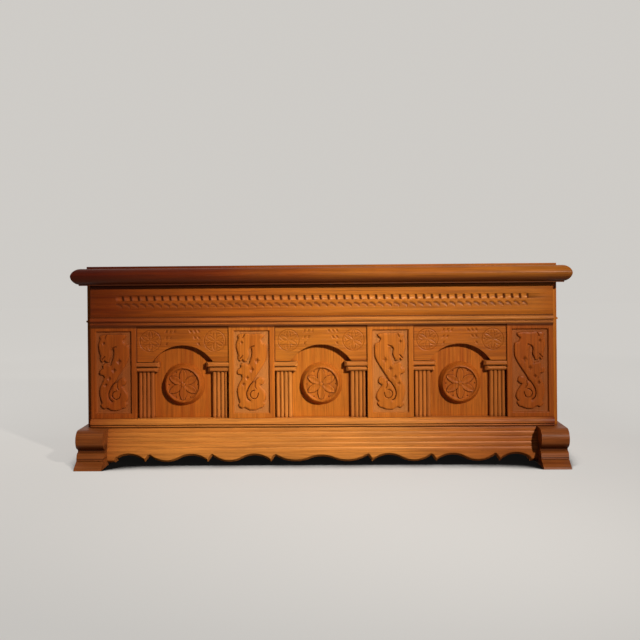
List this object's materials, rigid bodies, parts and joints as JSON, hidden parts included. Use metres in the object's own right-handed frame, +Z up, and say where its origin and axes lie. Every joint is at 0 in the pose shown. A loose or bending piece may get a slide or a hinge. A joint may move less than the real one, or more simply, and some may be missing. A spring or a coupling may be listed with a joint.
{
  "type": "carved chest",
  "caption": "Carved oak chest on four feet, with arched niches and framed scroll panels on its front, a scalloped apron and a hinged moulded lid.",
  "frame": {"origin": "middle of the base of the bounding box, on the floor between the four feet", "axes": "+X to the right along the front, -Y towards the carved front, +Z up"},
  "size_m": [1.254, 0.51, 0.504],
  "materials": {
    "oak_front": "varnished honey oak, satin",
    "oak_pilaster": "carved oak, reddish brown varnish, satin",
    "oak_recess": "varnished oak with upright grain, satin",
    "oak_lid": "varnished honey oak, satin",
    "oak_feet": "varnished oak, satin",
    "oak_frame": "varnished oak, satin",
    "hinge_brass": "aged brass, satin",
    "screw_steel": "plain steel"
  },
  "bodies": {
    "case": {"apron_front": "oak_front", "apron_left": "oak_front", "apron_right": "oak_front", "back_bottom_rail": "oak_frame", "back_panel": "oak_frame", "back_top_rail": "oak_frame", "base_moulding": "oak_front", "bottom_board": "oak_frame", "column_caps_centre": "oak_front", "column_caps_left": "oak_front", "column_caps_right": "oak_front", "column_centre_a": "oak_front", "column_centre_b": "oak_front", "column_left_a": "oak_front", "column_left_b": "oak_front", "column_right_a": "oak_front", "column_right_b": "oak_front", "frieze_board": "oak_front", "front_bottom_rail": "oak_frame", "front_foot_left": "oak_feet", "front_foot_right": "oak_feet", "front_muntin_left": "oak_frame", "front_muntin_right": "oak_frame", "front_post_left": "oak_frame", "front_post_right": "oak_frame", "front_top_rail": "oak_frame", "hinge_case_leaves": "hinge_brass", "hinge_pins": "screw_steel", "mid_moulding": "oak_front", "niche_panel_centre": "oak_recess", "niche_panel_left": "oak_recess", "niche_panel_right": "oak_recess", "pilaster_panel_1": "oak_pilaster", "pilaster_panel_2": "oak_pilaster", "pilaster_panel_3": "oak_pilaster", "pilaster_panel_4": "oak_pilaster", "rear_foot_left": "oak_feet", "rear_foot_right": "oak_feet", "rear_post_left": "oak_frame", "rear_post_right": "oak_frame", "roundel_centre": "oak_front", "roundel_left": "oak_front", "roundel_right": "oak_front", "side_beads": "oak_front", "side_bottom_rail_left": "oak_frame", "side_bottom_rail_right": "oak_frame", "side_panel_left": "oak_frame", "side_panel_right": "oak_frame", "side_top_rail_left": "oak_frame", "side_top_rail_right": "oak_frame", "spandrel_centre": "oak_front", "spandrel_left": "oak_front", "spandrel_right": "oak_front"},
    "lid": {"lid_board": "oak_lid", "lid_moulding_front": "oak_lid", "lid_moulding_left": "oak_lid", "lid_moulding_right": "oak_lid", "hinge_lid_leaves": "hinge_brass"}
  },
  "joints": [
    {"name": "lid_hinge", "type": "hinge", "parent": "case", "child": "lid", "pos_m": [0, 0.235, 0.456], "axis": [-1, 0, 0], "range_deg": [0, 104]}
  ]
}
